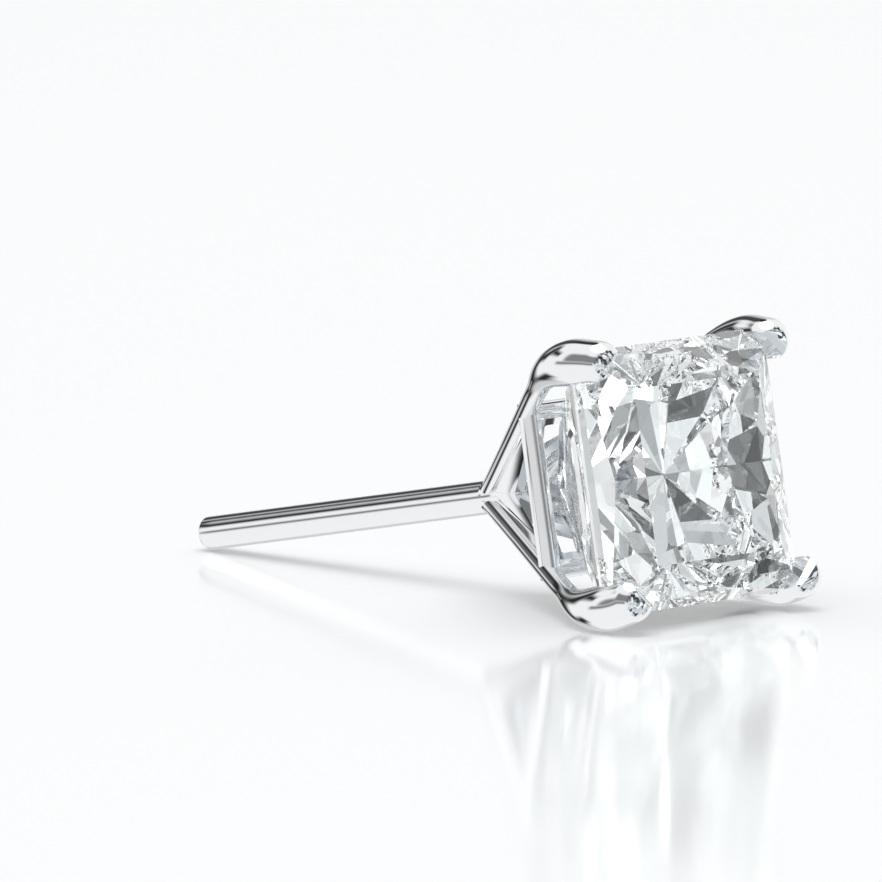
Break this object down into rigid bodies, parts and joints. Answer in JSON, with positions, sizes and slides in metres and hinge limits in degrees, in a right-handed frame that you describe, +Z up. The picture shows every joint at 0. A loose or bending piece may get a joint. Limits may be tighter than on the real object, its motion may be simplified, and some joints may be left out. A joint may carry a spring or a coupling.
{
  "type": "stud earring",
  "caption": "Stud earring with a colourless square princess-cut stone in a claw head on a straight friction post, lying at rest on its lower claws and the end of its post.",
  "frame": {"origin": "on the surface the earring rests on, under the centre of its box", "axes": "+Z up from the resting surface, +Y along the ear post towards its end, -Y the way the stone faces, +X to one side; the axis of the post is tipped down towards its end as it is at rest"},
  "size_m": [0.0078, 0.0196, 0.0077],
  "materials": {
    "white_metal": "high polish rhodium-plated white gold",
    "clear_stone": "polished colourless brilliant facets"
  },
  "bodies": {
    "root": {"setting": "white_metal", "stone": "clear_stone"}
  },
  "joints": []
}
